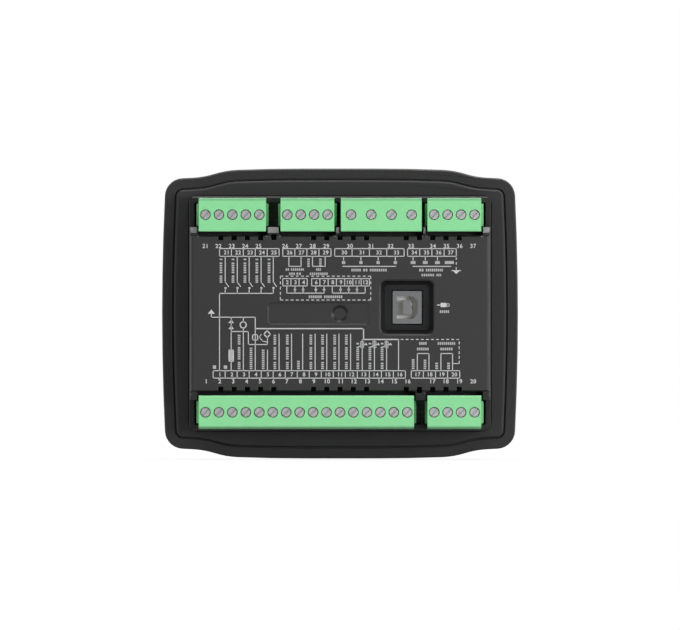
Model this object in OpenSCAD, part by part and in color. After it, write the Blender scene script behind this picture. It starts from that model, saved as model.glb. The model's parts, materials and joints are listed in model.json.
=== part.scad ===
// Lighting tower controller: a panel-mounted module with a screen and six keys in front,
// and six plug-in screw terminal blocks and a data socket behind.
// Every piece is drawn face down on a bench: x runs to the right as seen from behind,
// y runs up, and z runs out of the back, with z = 0 at the front face of the panel sheet.
// The upright() module then stands the piece up, with the front facing -Y and +Z up.

/* [Case] */
// Overall width of the bezel
case_w = 135; // [135:1:180]
// Overall height of the bezel
case_h = 110; // [109:1:150]
// How far the bezel stands in front of the panel
front_d = 10; // [9.5:0.5:14]
// How far the terminal blocks stand behind the panel
rear_d = 34; // [33:0.1:44]
// Bezel beyond the body, on the left and right
flange_x = 10.2; // [9.5:0.1:10.4]
// Bezel beyond the body, above and below
flange_y = 10.5; // [9.5:0.1:12]
// Wall of the rear housing
wall = 2; // [1.6:0.1:2.4]
// Radius of the upright corners of the rear housing
body_r = 3; // [2.5:0.5:5]

/* [Bezel outline] */
// Radius of the four outer corners
corner_r = 7; // [6:0.5:9]
// Radius of the long bow of the top and bottom edges
bow_r = 690; // [500:10:900]
// Radius of the two bends that step each edge down to its corner
swell_r = 34; // [26:0.5:36]
// Straight run between the step and the corner
tail_l = 3.8; // [3:0.1:8]
// Width of the rounded crown in front, measured in from the outline
crown_w = 3.8; // [2.5:0.1:4.5]
// Depth of the rounded crown, measured back from the front
crown_d = 5; // [3:0.5:7]
// Width of the bare band around the gasket
band_w = 3.85; // [3:0.05:4.5]

/* [Gasket] */
// How far the gasket stands proud of the band behind the bezel
gasket_proud = 0.8; // [0.4:0.1:1.2]
// Thickness of the gasket
gasket_t = 2.2; // [1.8:0.1:3]
// Width of the channel between the band and the gasket
seam_w = 0.6; // [0.4:0.1:1.2]
// Rounding of the gasket's outer edge
gasket_edge = 0.9; // [0.4:0.1:1.2]

/* [Front] */
// Depth of the flat field below the front of the rim
field_d = 1.2; // [0.8:0.1:1.6]
// Width of the rim around the field
field_inset = 7; // [6:0.5:8]
// Thickness of the front plate
plate_t = 2.3; // [2:0.1:3]
// Thickness of the film on the field
film_t = 0.4; // [0.2:0.1:0.6]
// Width of the clear window
window_w = 72; // [60:1:76]
// Height of the clear window
window_h = 38; // [30:1:40]
// Height of the window's centre above the middle
window_y = 14; // [12:0.5:16]
// Thickness of the clear lens
lens_t = 1.6; // [1:0.1:2]
// Diameter of each key
key_dia = 12; // [9:0.1:14.5]
// Distance from key to key
key_pitch = 17; // [16.5:0.5:17.5]
// How far the keys lie below the middle
key_drop = 29; // [28:0.5:31]
// Travel of each key
key_travel = 0.6; // [0.3:0.1:0.8]

/* [Rear housing] */
// Height of the shoulders that the terminal blocks stand on, behind the panel
shoulder_z = 19.5; // [18:0.5:20]
// Depth of the deck below the tops of the terminal blocks
deck_sunk = 1.4; // [1:0.1:2]
// Distance from the line of screws to the edge of the deck
deck_inset = 7.9; // [7.6:0.1:8.6]
// Run and rise of the sloping tops of the ribs between the blocks
rib_slope = 2.3; // [1.8:0.1:2.5]
// Rounding of the deck's left and right edges
edge_r = 1.1; // [0.8:0.1:1.5]
// Width of each ventilation slot
slot_w = 2; // [1.5:0.1:2.4]
// Distance from slot to slot
slot_pitch = 5; // [4.5:0.1:5.4]
// Distance from one group of five slots to the next
slot_group_pitch = 35; // [30:0.5:36]

/* [Terminal blocks] */
// Distance from pole to pole
pitch = 5.08; // [4.6:0.01:5.08]
// Distance from pole to pole of the mains voltage block
wide_pitch = 7.62; // [6.35:0.01:7.62]
// Depth of a block, across its row
plug_t = 12.6; // [10.5:0.1:14]
// Distance from the edge of the body to the line of screws
row_inset = 7.2; // [6.9:0.1:7.3]
// Gap between a block and the wall of its bay
bay_gap = 0.6; // [0.4:0.1:0.8]
// Diameter of the clamp screw heads
screw_dia = 3.4; // [3:0.1:3.5]
// Side clearance of a plug in its header
plug_gap = 0.2; // [0.1:0.05:0.3]

/* [Data socket] */
// Width of the pocket's mouth
pocket_w = 20.2; // [18:0.1:22]
// Height of the pocket's mouth
pocket_h = 20.4; // [18:0.1:22]
// Depth of the pocket below the deck
pocket_d = 7; // [6:0.5:8]
// Narrowing of the pocket on each side, from its mouth to its floor
pocket_taper = 1.6; // [1:0.1:2]
// Width of the metal shell
shell_w = 11; // [10.5:0.1:12]
// Height of the metal shell
shell_h = 12.4; // [12:0.1:13]

/* [Hidden] */
$fn = 48;

// A cut reaches this far past the face that it opens
over = 1;
// Gap round a piece that drops into its seat
fit = 0.15;

// Turning of the outline's arcs, in degrees, from the middle of the top edge to the side
bow_a = 2.1;
swell_a = 15.2;
swell_back_a = 14.6;
side_a = 2.7;
corner_a = 90 - bow_a - swell_a + swell_back_a - side_a;

// Depths, from the front of the bezel back
body_w = case_w - 2 * flange_x;
body_h = case_h - 2 * flange_y;
inner_w = body_w - 2 * wall;
inner_h = body_h - 2 * wall;
band_z = -gasket_proud;
seat_z = -gasket_t;
field_z = -front_d + field_d;
plate_back_z = field_z + plate_t;
film_z = field_z - film_t;

// The bezel's locating rib stands inside the housing wall
rib_w = inner_w - 2 * fit;
rib_h = inner_h - 2 * fit;
rib_t = 1.2;
rib_top_z = 1.6;

// Boards, their spacers and their screws
board_t = 1.6;
display_board_z = plate_back_z + 5.3;
display_board_top_z = display_board_z + board_t;
spacer_l = 6.6;
main_board_z = display_board_top_z + spacer_l;
main_board_top_z = main_board_z + board_t;
fix_x = 50;
fix_y = 20;
post_dia = 5.5;
screw_shank_dia = 2.9;
display_board_w = rib_w - 2 * rib_t - 2;
display_board_h = rib_h - 2 * rib_t - 2;
main_board_w = inner_w - 1;
main_board_h = inner_h - 1;

// Screen, from the window back
lens_ledge = 3;
lens_back_z = film_z + lens_t;
lcd_w = window_w + 6;
lcd_h = window_h + 4;
lcd_rim = 3;
lcd_gap = 0.2;
glass_t = 1.8;
backlight_t = 2.4;
lcd_frame_z = plate_back_z + lcd_gap;
glass_z = lcd_frame_z + lcd_gap;

// Keys and indicators
key_gap = 0.25;
key_flange = 0.7;
key_proud = 0.7;
stem_dia = 4;
stem_gap = 0.2;
switch_w = 6.2;
switch_h = 3.2;
switch_floor = 0.5;
stem_end_z = display_board_z - switch_floor - key_travel - 0.1;
pipe_dia = 2.9;
pipe_gap = 0.05;
pipe_flange_dia = 4.2;
pipe_y = -17;
led_w = 3;
led_h = 1.6;

// Terminal blocks: [first pole, last pole, pitch, centre, row], with row 1 above and -1 below
row_y = body_h / 2 - row_inset;
row_half_w = 10.5 * pitch;
BLOCKS = [
    [1, 16, pitch, -2.5 * pitch, -1],
    [17, 20, pitch, 8.5 * pitch, -1],
    [21, 25, pitch, -8 * pitch, 1],
    [26, 29, pitch, -12.3, 1],
    [30, 33, wide_pitch, 15.6, 1],
    [34, 37, pitch, 8.5 * pitch, 1],
];
header_h = 12;
header_t = 8.4;
header_wall = 1.3;
header_end = 1;
header_floor = 3.6;
header_top_z = main_board_top_z + header_h;
ear_w = 0.9;
wide_ear_w = 0.2;
plug_z = header_top_z + plug_gap;
plug_top_z = rear_d;
plug_nose_gap = 0.4;
nose_z = main_board_top_z + header_floor + plug_nose_gap;
nose_t = header_t - 2 * header_wall - 2 * plug_gap;
plug_round = 1;
pin_w = 1;
pin_top_z = header_top_z - 2;
pin_tail = 2.4;
pin_hole_dia = 1.7;
contact_hole_w = 2.2;
wire_z = plug_z + 5;
cage_w = pitch - 1.08;
wire_w = cage_w - 0.8;
wire_mouth_w = pitch - 1.28;
wire_mouth_d = 1;
cage_t = 4.6;
cage_h = 6;
cage_z = wire_z - 2.3;
cage_wall = 0.7;
cage_gap = 0.15;
clamp_screw_hole_dia = screw_dia + 0.6;
clamp_screw_sunk = 0.8;
clamp_screw_head_l = 2.8;
clamp_screw_shank_dia = 2.4;
screw_slot_w = 0.55;
screw_slot_d = 0.8;

// Rear housing
slot_row_gap = 0.45;
slot_in_y = row_y - header_t / 2 - slot_row_gap;
slot_out_y = row_y + header_t / 2 + slot_row_gap;
slot_half_w = row_half_w + ear_w + 0.8;
deck_h = 2 * (row_y - deck_inset);
deck_z = rear_d - deck_sunk;
deck_w = body_w - 1.4;
skin = 2;
vent_in = 1.7;
vent_out = 0.6;
deck_bevel = 0.5;
groove_d = 1.6;
vent_low_z = shoulder_z + skin;
VENT_X = [
    for (group = [-1 : 1], step = [-2 : 2])
        group * slot_group_pitch + step * slot_pitch
];
clip_slot_w = 8;
clip_slot_h = 3;
clip_slot_z = 8;
clip_slot_y = 20;
hook_l = 8;
hook_out = 0.6;
hook_h = 1.2;
hook_x = 30;

// Data socket
pocket_x = 25.4;
pocket_y = 2.3;
pocket_r = 2.2;
pocket_wall = 1.5;
pocket_floor_z = deck_z - pocket_d;
pocket_lip = 0.4;
shell_top_z = pocket_floor_z + 0.8;
shell_t = 0.4;
shell_gap = 0.3;
bay_d = 9;
d_w = 7.8;
d_h = 8.45;
d_cut = 1.7;
tongue_w = 3.2;
tongue_h = 5.6;
tongue_sunk = 0.7;

// Sunk marks on the deck
plate_w = 38.5;
plate_h = 8.4;
plate_r = 1.2;
plate_x = -8;
plate_sunk = 0.4;
plate_edge = 0.35;
gate_dia = 6.6;
gate_floor_dia = 4.2;
gate_sunk = 1.1;

// Stands a piece up: x as seen from behind becomes -X, y becomes Z and z becomes Y
module upright() {
    rotate([90, 0, 180]) children();
}

// Points of an arc that leaves p with this heading and turns clockwise by turn degrees;
// a negative turn is counter-clockwise
function arc(p, heading, r, turn, n) =
    let (s = sign(turn), c = p + s * r * [sin(heading), -cos(heading)])
    [for (i = [1 : n]) let (h = heading - turn * i / n) c + s * r * [-sin(h), cos(h)]];

// A quarter of the bezel's outline, from the middle of the top edge to the middle of the side,
// moved in by the inset d. The top's straight run and the side's bow close it on the axes.
function quarter(d) =
    let (
        tip_r = max(corner_r - d, 1.6),
        out_r = swell_r - d,
        in_r = swell_r + d,
        down_a = bow_a + swell_a,
        tail_a = down_a - swell_back_a,
        foot_a = tail_a + corner_a,
        flat_x = case_w / 2 - d
            - (bow_r - d) * sin(bow_a)
            - out_r * (sin(down_a) - sin(bow_a))
            - in_r * (sin(down_a) - sin(tail_a))
            - tail_l * cos(tail_a)
            - tip_r * (sin(foot_a) - sin(tail_a)),
        drop = d
            + (bow_r - d) * (1 - cos(bow_a))
            + out_r * (cos(bow_a) - cos(down_a))
            + in_r * (cos(tail_a) - cos(down_a))
            + tail_l * sin(tail_a)
            + tip_r * (cos(tail_a) - cos(foot_a)),
        side_r = (case_h / 2 - drop) / cos(foot_a),
        p0 = [flat_x - side_r * (1 - sin(foot_a)), case_h / 2 - d],
        bow = arc(p0, 0, bow_r - d, bow_a, 2),
        swell = arc(bow[1], -bow_a, out_r, swell_a, 4),
        swell_back = arc(swell[3], -down_a, in_r, -swell_back_a, 4),
        tail = swell_back[3] + tail_l * [cos(tail_a), -sin(tail_a)],
        corner = arc(tail, -tail_a, tip_r, corner_a, 7),
        side = arc(corner[6], -foot_a, side_r, side_a, 3)
    )
    concat([p0], bow, swell, swell_back, [tail], corner, side);

// The whole outline, moved in by d, running clockwise
function outline(d) =
    let (q = quarter(d), n = len(q))
    concat(
        q,
        [for (i = [n - 2 : -1 : 0]) [q[i].x, -q[i].y]],
        [for (i = [0 : n - 1]) [-q[i].x, -q[i].y]],
        [for (i = [n - 2 : -1 : 0]) [-q[i].x, q[i].y]]
    );

// Points of a rounded rectangle, running clockwise
function round_rect(w, h, r, n = 5) = [
    for (k = [0 : 3], i = [0 : n])
        let (
            a = 90 - 90 * k - 90 * i / n,
            sx = k < 2 ? 1 : -1,
            sy = k == 0 || k == 3 ? 1 : -1
        )
        [sx * (w / 2 - r) + r * cos(a), sy * (h / 2 - r) + r * sin(a)]
];

// A closed skin over stacked rings, each [z, points], listed from the lowest z up
module loft(rings) {
    n = len(rings[0][1]);
    last = len(rings) - 1;
    polyhedron(
        points = [for (ring = rings, p = ring[1]) [p.x, p.y, ring[0]]],
        faces = concat(
            [[for (i = [n - 1 : -1 : 0]) i]],
            [for (k = [0 : last - 1], i = [0 : n - 1])
                let (a = k * n + i, b = k * n + (i + 1) % n)
                [a, b, b + n, a + n]],
            [[for (i = [0 : n - 1]) last * n + i]]
        )
    );
}

// A prism of the bezel's outline, moved in by d
module outline_prism(d, z0, z1) {
    translate([0, 0, z0]) linear_extrude(z1 - z0) polygon(outline(d));
}

// A block with rounded upright corners, centred on x and y
module round_block(w, h, r, z0, z1) {
    translate([0, 0, z0]) linear_extrude(z1 - z0) union() {
        square([w - 2 * r, h], center = true);
        square([w, h - 2 * r], center = true);
        for (sx = [-1, 1], sy = [-1, 1])
            translate([sx * (w / 2 - r), sy * (h / 2 - r)]) circle(r);
    }
}

// A block centred on x and y
module block(w, h, z0, z1) {
    translate([-w / 2, -h / 2, z0]) cube([w, h, z1 - z0]);
}

// An upright rod
module rod(d, z0, z1) {
    translate([0, 0, z0]) cylinder(d = d, h = z1 - z0);
}

// The four places where the boards are screwed to the bezel
module at_board_fixings() {
    for (sx = [-1, 1], sy = [-1, 1]) translate([sx * fix_x, sy * fix_y, 0]) children();
}

// The place of key k, counted from the left as seen from the front
module at_key(k) {
    translate([(2.5 - k) * key_pitch, -key_drop, 0]) children();
}

// The four indicators, above the first four keys
module at_indicators() {
    for (k = [0 : 3]) translate([(2.5 - k) * key_pitch, pipe_y, 0]) children();
}

// Front bezel
// The crown: a quarter of an ellipse swept round the outline, above a nearly upright side
module bezel_skin() {
    steps = 4;
    crown = [
        for (i = [0 : steps])
            let (t = 90 - 90 * i / steps)
            [-front_d + crown_d * (1 - sin(t)), outline(crown_w * (1 - cos(t)))]
    ];
    loft(concat(crown, [[band_z - 0.5, outline(0)], [band_z, outline(0.5)]]));
}

module bezel_hooks() {
    for (side = [-1, 1], sx = [-1, 1])
        translate([sx * hook_x, side * (rib_h / 2 - over), 0])
            hook(side);
    for (side = [-1, 1])
        rotate(-90) translate([0, side * (rib_w / 2 - over), 0]) hook(side);
}

// A snap hook: a ramp that stands out of the rib
module hook(side) {
    low = rib_top_z - hook_h;
    rotate([90, 0, 90]) translate([0, 0, -hook_l / 2]) linear_extrude(hook_l) polygon([
        [0, low],
        [side * (over + hook_out), low],
        [side * over, rib_top_z],
        [0, rib_top_z],
    ]);
}

module front_bezel() {
    color("#333333") upright() difference() {
        union() {
            difference() {
                bezel_skin();
                outline_prism(band_w, seat_z, band_z + over);
                difference() {
                    outline_prism(band_w, seat_z - 1, seat_z + over);
                    outline_prism(band_w + seam_w, seat_z - 1 - over, seat_z + 2 * over);
                }
                outline_prism(field_inset, -front_d - over, field_z);
                round_block(rib_w - 2 * rib_t, rib_h - 2 * rib_t, body_r - wall / 2, plate_back_z, 0);
            }
            difference() {
                round_block(rib_w, rib_h, body_r - wall / 2, seat_z - over, rib_top_z);
                round_block(rib_w - 2 * rib_t, rib_h - 2 * rib_t, body_r - wall / 2,
                    seat_z - 2 * over, rib_top_z + over);
            }
            at_board_fixings() rod(post_dia, plate_back_z - over, display_board_z);
            bezel_hooks();
        }
        translate([0, window_y, 0]) {
            block(window_w, window_h, -front_d, plate_back_z + over);
            round_block(window_w + 2 * lens_ledge, window_h + 2 * lens_ledge, 2, -front_d, lens_back_z);
        }
        for (k = [0 : 5]) at_key(k) rod(key_dia + 2 * key_gap, -front_d, plate_back_z + over);
        at_indicators() rod(pipe_dia + 2 * pipe_gap, -front_d, plate_back_z + over);
        at_board_fixings() rod(screw_shank_dia + 0.1, plate_back_z + 0.6, display_board_z + over);
    }
}

module panel_gasket() {
    d = band_w + seam_w;
    steps = 4;
    color("#262626") upright() difference() {
        loft(concat([[seat_z, outline(d)]], [
            for (i = [0 : steps])
                let (t = 90 * i / steps)
                [gasket_edge * (sin(t) - 1), outline(d + gasket_edge * (1 - cos(t)))]
        ]));
        round_block(body_w + 0.4, body_h + 0.4, body_r + 0.2, seat_z - over, over);
    }
}

module front_film() {
    color("#202224") upright() difference() {
        outline_prism(field_inset + 0.3, film_z, field_z);
        translate([0, window_y, 0])
            round_block(window_w + 2 * lens_ledge, window_h + 2 * lens_ledge, 2, -front_d, 0);
        for (k = [0 : 5]) at_key(k) rod(key_dia + 2 * key_gap, -front_d, 0);
        at_indicators() rod(pipe_dia + 2 * pipe_gap, -front_d, 0);
    }
}

module display_lens() {
    color("#9aa7ad", 0.4) upright() translate([0, window_y, 0])
        round_block(window_w + 2 * (lens_ledge - fit), window_h + 2 * (lens_ledge - fit), 2 - fit,
            film_z, lens_back_z);
}

// Screen
module lcd_glass() {
    color("#8fa38a") upright() translate([0, window_y, 0])
        block(lcd_w, lcd_h, glass_z, glass_z + glass_t);
}

module lcd_backlight() {
    color("#e8e8e0") upright() translate([0, window_y, 0])
        block(lcd_w, lcd_h, glass_z + glass_t, glass_z + glass_t + backlight_t);
}

module lcd_frame() {
    color("#1d1d1d") upright() translate([0, window_y, 0]) difference() {
        block(lcd_w + 2 * lcd_rim, lcd_h + 2 * lcd_rim, lcd_frame_z, display_board_z);
        block(lcd_w + 2 * lcd_gap, lcd_h + 2 * lcd_gap,
            lcd_frame_z - over, glass_z + glass_t + backlight_t);
    }
}

// Boards and what joins them
module board(w, h, z0) {
    difference() {
        round_block(w, h, 2, z0, z0 + board_t);
        at_board_fixings() rod(screw_shank_dia + 0.4, z0 - over, z0 + board_t + over);
    }
}

module display_board() {
    color("#0d3b24") upright() board(display_board_w, display_board_h, display_board_z);
}

module main_board() {
    color("#0d3b24") upright() difference() {
        board(main_board_w, main_board_h, main_board_z);
        for (b = BLOCKS) at_poles(b)
            rod(pin_hole_dia, main_board_z - over, main_board_top_z + over);
    }
}

module board_spacers() {
    color("#d9d9d9") upright() at_board_fixings() difference() {
        rod(post_dia, display_board_top_z, main_board_z);
        rod(screw_shank_dia + 0.2, 0, main_board_z + over);
    }
}

// A pan-head screw with a cross recess
module board_screws() {
    head_dia = 5.2;
    head_h = 1.8;
    tip_z = display_board_z - 3;
    color("#b8bcc0") upright() at_board_fixings() difference() {
        union() {
            rod(screw_shank_dia, tip_z, main_board_top_z + over);
            rod(head_dia, main_board_top_z, main_board_top_z + head_h);
        }
        for (turn = [0, 90]) rotate(turn)
            block(3, 0.7, main_board_top_z + head_h - 1, main_board_top_z + head_h + over);
    }
}

// The pin strip that joins the two boards
module board_link() {
    step = 2.54;
    strip_x = -30;
    color("#1a1a1a") upright() translate([strip_x, 0, 0])
        block(10 * step, 2 * step, display_board_top_z, main_board_z);
}

module processor() {
    color("#161616") upright() {
        translate([-12, 2, 0]) block(14, 14, main_board_top_z, main_board_top_z + 1.4);
        translate([-36, 8, 0]) block(10, 6, main_board_top_z, main_board_top_z + 1.7);
        translate([-36, -2, 0]) block(6, 5, main_board_top_z, main_board_top_z + 1.7);
    }
}

module relays() {
    relay_w = 15.2;
    relay_h = 10.2;
    color("#1c2a4a") upright() for (i = [0 : 4]) translate([-38 + 16.4 * i, -21, 0])
        block(relay_w, relay_h, main_board_top_z, main_board_top_z + relay_w);
}

// Two large cans and three small ones, each with the score that lets it vent
module capacitors() {
    color("#20262c") upright() {
        for (x = [-41, -30]) translate([x, 20, 0]) can(10, 16);
        for (x = [-19, -10, -1]) translate([x, 21, 0]) can(8, 12);
    }
}

module can(d, l) {
    top_z = main_board_top_z + l;
    difference() {
        rod(d, main_board_top_z, top_z);
        for (turn = [0, 90]) rotate(turn) block(0.7 * d, 0.4, top_z - 0.3, top_z + over);
    }
}

module current_transformers() {
    color("#3a3f46") upright() for (i = [0 : 2]) translate([12.5 + 13.5 * i, 20.5, 0])
        rod(12.5, main_board_top_z, main_board_top_z + 9);
}

// Keys and indicators
// A dished cap with a collar behind the plate and a stem that reaches into its switch
module key_cap(k) {
    top_z = film_z - key_proud;
    collar_z = plate_back_z + fit;
    dish = 0.25;
    r = key_dia / 2;
    edge = 0.5;
    color("#3b3d40") upright() at_key(k) rotate_extrude() polygon([
        [0, top_z + dish],
        [r * 0.45, top_z + dish * 0.75],
        [r - 2 * edge, top_z],
        [r - 0.7 * edge, top_z + 0.1 * edge],
        [r - 0.2 * edge, top_z + 0.5 * edge],
        [r, top_z + 1.3 * edge],
        [r, collar_z],
        [r + key_flange, collar_z],
        [r + key_flange, collar_z + 1],
        [stem_dia / 2, collar_z + 1],
        [stem_dia / 2, stem_end_z],
        [0, stem_end_z],
    ]);
}

module key_stop() { key_cap(0); }
module key_manual() { key_cap(1); }
module key_auto() { key_cap(2); }
module key_start() { key_cap(3); }
module key_lamps() { key_cap(4); }
module key_scroll() { key_cap(5); }

// Each switch is a square case with a bore that the key's stem presses into
module key_switches() {
    color("#111111") upright() for (k = [0 : 5]) at_key(k) difference() {
        block(switch_w, switch_w, display_board_z - switch_h, display_board_z);
        rod(stem_dia + 2 * stem_gap, display_board_z - switch_h - over, display_board_z - switch_floor);
    }
}

module light_pipes() {
    color("#f2f2f2", 0.6) upright() at_indicators() {
        rod(pipe_dia, film_z, plate_back_z + over);
        rod(pipe_flange_dia, plate_back_z, plate_back_z + over);
        rod(pipe_dia, plate_back_z, display_board_z - led_h - 0.2);
    }
}

module indicator_leds() {
    color("#e6e6d8") upright() at_indicators()
        block(led_w, led_w, display_board_z - led_h, display_board_z);
}

// Rear housing
// Side view of the housing, from the foot of the wall up over the shoulder and the sloping rib,
// down into the groove beside the deck, and up to the deck and back
function housing_side_view() =
    let (
        half_h = body_h / 2,
        lip = 0.3,
        draft = 0.4,
        rib_y = slot_in_y,
        deck_y = deck_h / 2,
        half = [
            [half_h, seat_z],
            [half_h - draft, shoulder_z - lip],
            [half_h - draft - lip, shoulder_z],
            [rib_y, shoulder_z],
            [rib_y, deck_z - rib_slope],
            [rib_y - rib_slope, deck_z],
            [rib_y - rib_slope, deck_z - groove_d],
            [deck_y, deck_z - groove_d],
            [deck_y, deck_z - deck_bevel],
            [deck_y - deck_bevel, deck_z],
        ]
    )
    concat(half, [for (i = [len(half) - 1 : -1 : 0]) [-half[i].x, half[i].y]]);

// View of the housing from above: drafted sides that round over into the deck
function housing_top_view() =
    let (
        r = edge_r,
        half = concat(
            [[body_w / 2, seat_z]],
            [for (i = [0 : 4])
                [deck_w / 2 - r + r * cos(22.5 * i), deck_z - r + r * sin(22.5 * i)]]
        )
    )
    concat(half, [for (i = [len(half) - 1 : -1 : 0]) [-half[i].x, half[i].y]]);

// Draws a side view [y, z] along x, and a top view [x, z] along y
module along_x(points, l) {
    rotate([90, 0, 90]) translate([0, 0, -l / 2]) linear_extrude(l) polygon(points);
}

module along_y(points, l) {
    rotate([90, 0, 0]) translate([0, 0, -l / 2]) linear_extrude(l) polygon(points);
}

module housing_form() {
    intersection() {
        round_block(body_w, body_h, body_r, seat_z, deck_z);
        along_x(housing_side_view(), body_w + over);
        along_y(housing_top_view(), body_h + over);
    }
}

// The room inside the housing: a wide lower part and a narrower part under the deck
module housing_room() {
    low_top_z = shoulder_z - skin;
    vent_wall_y = deck_h / 2 - skin;
    round_block(inner_w, inner_h, body_r - wall / 2, seat_z - over, low_top_z);
    block(deck_w - 2 * wall, 2 * vent_wall_y, low_top_z - over, deck_z - skin);
}

// The bay of a block: the housing is cut away round it, from the shoulder up
module plug_bay(b) {
    w = block_w(b) + 2 * bay_gap;
    translate([b[3] - w / 2, b[4] > 0 ? deck_h / 2 : -body_h / 2 - over, shoulder_z])
        cube([w, body_h / 2 - deck_h / 2 + over, rear_d]);
}

// The long slot that the headers of one row stand in
module header_slot(row) {
    h = slot_out_y - slot_in_y;
    translate([0, row * (slot_in_y + slot_out_y) / 2, 0])
        block(2 * slot_half_w, h, shoulder_z - skin - over, shoulder_z + over);
}

// A ventilation slot: a notch in the deck's edge that runs down the wall below it
module vent(x, row) {
    edge_y = deck_h / 2;
    reach_in = skin + over / 2;
    translate([x, row * (edge_y + (vent_out - vent_in) / 2), 0])
        block(slot_w, vent_in + vent_out, deck_z - skin - over, deck_z + over);
    translate([x, row * (edge_y + (vent_out - reach_in) / 2), 0])
        block(slot_w, reach_in + vent_out, vent_low_z, deck_z - skin);
}

// The pocket round the data socket, grown by a wall when it is drawn as a tub
module pocket_shape(grow, z0, z1) {
    bottom_w = pocket_w - 2 * pocket_taper;
    bottom_h = pocket_h - 2 * pocket_taper;
    r = pocket_r + grow;
    translate([pocket_x, pocket_y, 0]) loft([
        [z0, round_rect(bottom_w + 2 * grow, bottom_h + 2 * grow, r - 0.5)],
        [z1, round_rect(pocket_w + 2 * grow, pocket_h + 2 * grow, r)],
    ]);
}

// The flare round the pocket's mouth
module pocket_rim() {
    r = pocket_r;
    translate([pocket_x, pocket_y, 0]) loft([
        [deck_z - pocket_lip, round_rect(pocket_w, pocket_h, r)],
        [deck_z + 0.01, round_rect(pocket_w + 2 * pocket_lip, pocket_h + 2 * pocket_lip, r + pocket_lip)],
    ]);
}

module housing_cuts() {
    for (b = BLOCKS) plug_bay(b);
    for (row = [-1, 1]) {
        header_slot(row);
        for (x = VENT_X) vent(x, row);
    }
    translate([plate_x, 0, 0]) loft([
        [deck_z - plate_sunk, round_rect(plate_w - 2 * plate_edge, plate_h - 2 * plate_edge, plate_r)],
        [deck_z + 0.01, round_rect(plate_w, plate_h, plate_r + plate_edge)],
    ]);
    translate([0, 0, deck_z - plate_sunk - gate_sunk])
        cylinder(d1 = gate_floor_dia, d2 = gate_dia, h = gate_sunk + 0.01);
    for (sx = [-1, 1], sy = [-1, 1])
        translate([sx * body_w / 2, sy * clip_slot_y, 0])
            block(2 * wall + over, clip_slot_w, clip_slot_z, clip_slot_z + clip_slot_h);
    hook_pockets();
}

// Recesses inside the wall that the bezel's hooks snap into
module hook_pockets() {
    deep = hook_out + 0.5;
    z0 = rib_top_z - hook_h - 0.2;
    z1 = rib_top_z + 0.2;
    for (sy = [-1, 1], sx = [-1, 1])
        translate([sx * hook_x, sy * inner_h / 2, 0]) block(hook_l + 1, 2 * deep, z0, z1);
    for (sx = [-1, 1])
        translate([sx * inner_w / 2, 0, 0]) block(2 * deep, hook_l + 1, z0, z1);
}

module rear_housing() {
    color("#3c3c3c") upright() difference() {
        union() {
            difference() {
                housing_form();
                housing_room();
            }
            pocket_shape(pocket_wall, pocket_floor_z - pocket_wall, deck_z - skin / 2);
        }
        housing_cuts();
        pocket_shape(0, pocket_floor_z, deck_z + 0.01);
        pocket_rim();
        translate([pocket_x, pocket_y, 0]) block(shell_w + 2 * shell_gap, shell_h + 2 * shell_gap,
            pocket_floor_z - pocket_wall - over, pocket_floor_z + over);
    }
}

// Data socket
// The D-shaped mouth, with its two cut corners to the right
module d_shape(grow) {
    w = d_w + 2 * grow;
    h = d_h + 2 * grow;
    polygon([
        [-w / 2, -h / 2],
        [w / 2 - d_cut, -h / 2],
        [w / 2, -h / 2 + d_cut],
        [w / 2, h / 2 - d_cut],
        [w / 2 - d_cut, h / 2],
        [-w / 2, h / 2],
    ]);
}

module usb_shell() {
    color("#8e9296") upright() translate([pocket_x, pocket_y, 0]) difference() {
        round_block(shell_w, shell_h, 0.4, main_board_top_z, shell_top_z);
        block(shell_w - 2 * shell_t, shell_h - 2 * shell_t, main_board_top_z - over, shell_top_z - shell_t);
        translate([0, 0, shell_top_z - 1]) linear_extrude(2) d_shape(0);
    }
}

module usb_insulator() {
    top_z = shell_top_z - shell_t;
    color("#6f7276") upright() translate([pocket_x, pocket_y, 0]) {
        difference() {
            block(shell_w - 2 * shell_t, shell_h - 2 * shell_t, main_board_top_z, top_z);
            translate([0, 0, top_z - bay_d]) linear_extrude(bay_d + over) d_shape(0);
        }
        block(tongue_w, tongue_h, top_z - bay_d - over, shell_top_z - tongue_sunk);
    }
}

// Four contact strips, two on each side of the tongue
module usb_contacts() {
    strip_w = 1;
    strip_t = 0.2;
    spread = 1.25;
    color("#d8b25a") upright() translate([pocket_x, pocket_y, 0]) for (sx = [-1, 1], sy = [-1, 1])
        translate([sx * (tongue_w + strip_t) / 2, sy * spread, 0])
            block(strip_t, strip_w, shell_top_z - shell_t - bay_d, shell_top_z - tongue_sunk - 1);
}

// Terminal blocks
function poles(b) = b[1] - b[0] + 1;
function block_w(b) = poles(b) * b[2];

module at_poles(b) {
    for (i = [0 : poles(b) - 1])
        translate([b[3] + (i - (poles(b) - 1) / 2) * b[2], b[4] * row_y, 0]) children();
}

// Draws a piece of a block in its row, with +y pointing out of the case
module in_row(b) {
    translate([b[3], b[4] * row_y, 0]) mirror([0, b[4] > 0 ? 0 : 1, 0]) children();
}

// The header on the board: a trough with closed ends, two keying ribs inside and a notched wall
module header(b) {
    ear = b[2] > pitch ? wide_ear_w : ear_w;
    w = block_w(b) + 2 * ear;
    room_t = header_t - 2 * header_wall;
    color("#3f9d5c") upright() in_row(b) difference() {
        block(w, header_t, main_board_top_z, header_top_z);
        block(w - 2 * header_end, room_t, main_board_top_z + header_floor, header_top_z + over);
        for (i = [0 : poles(b) - 1]) translate([(i - (poles(b) - 1) / 2) * b[2], 0, 0]) {
            rod(pin_hole_dia, main_board_top_z - over, main_board_top_z + header_floor + over);
            translate([0, -header_t / 2, 0])
                block(1.6, header_wall, header_top_z - 2.5, header_top_z + over);
        }
    }
}

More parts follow.
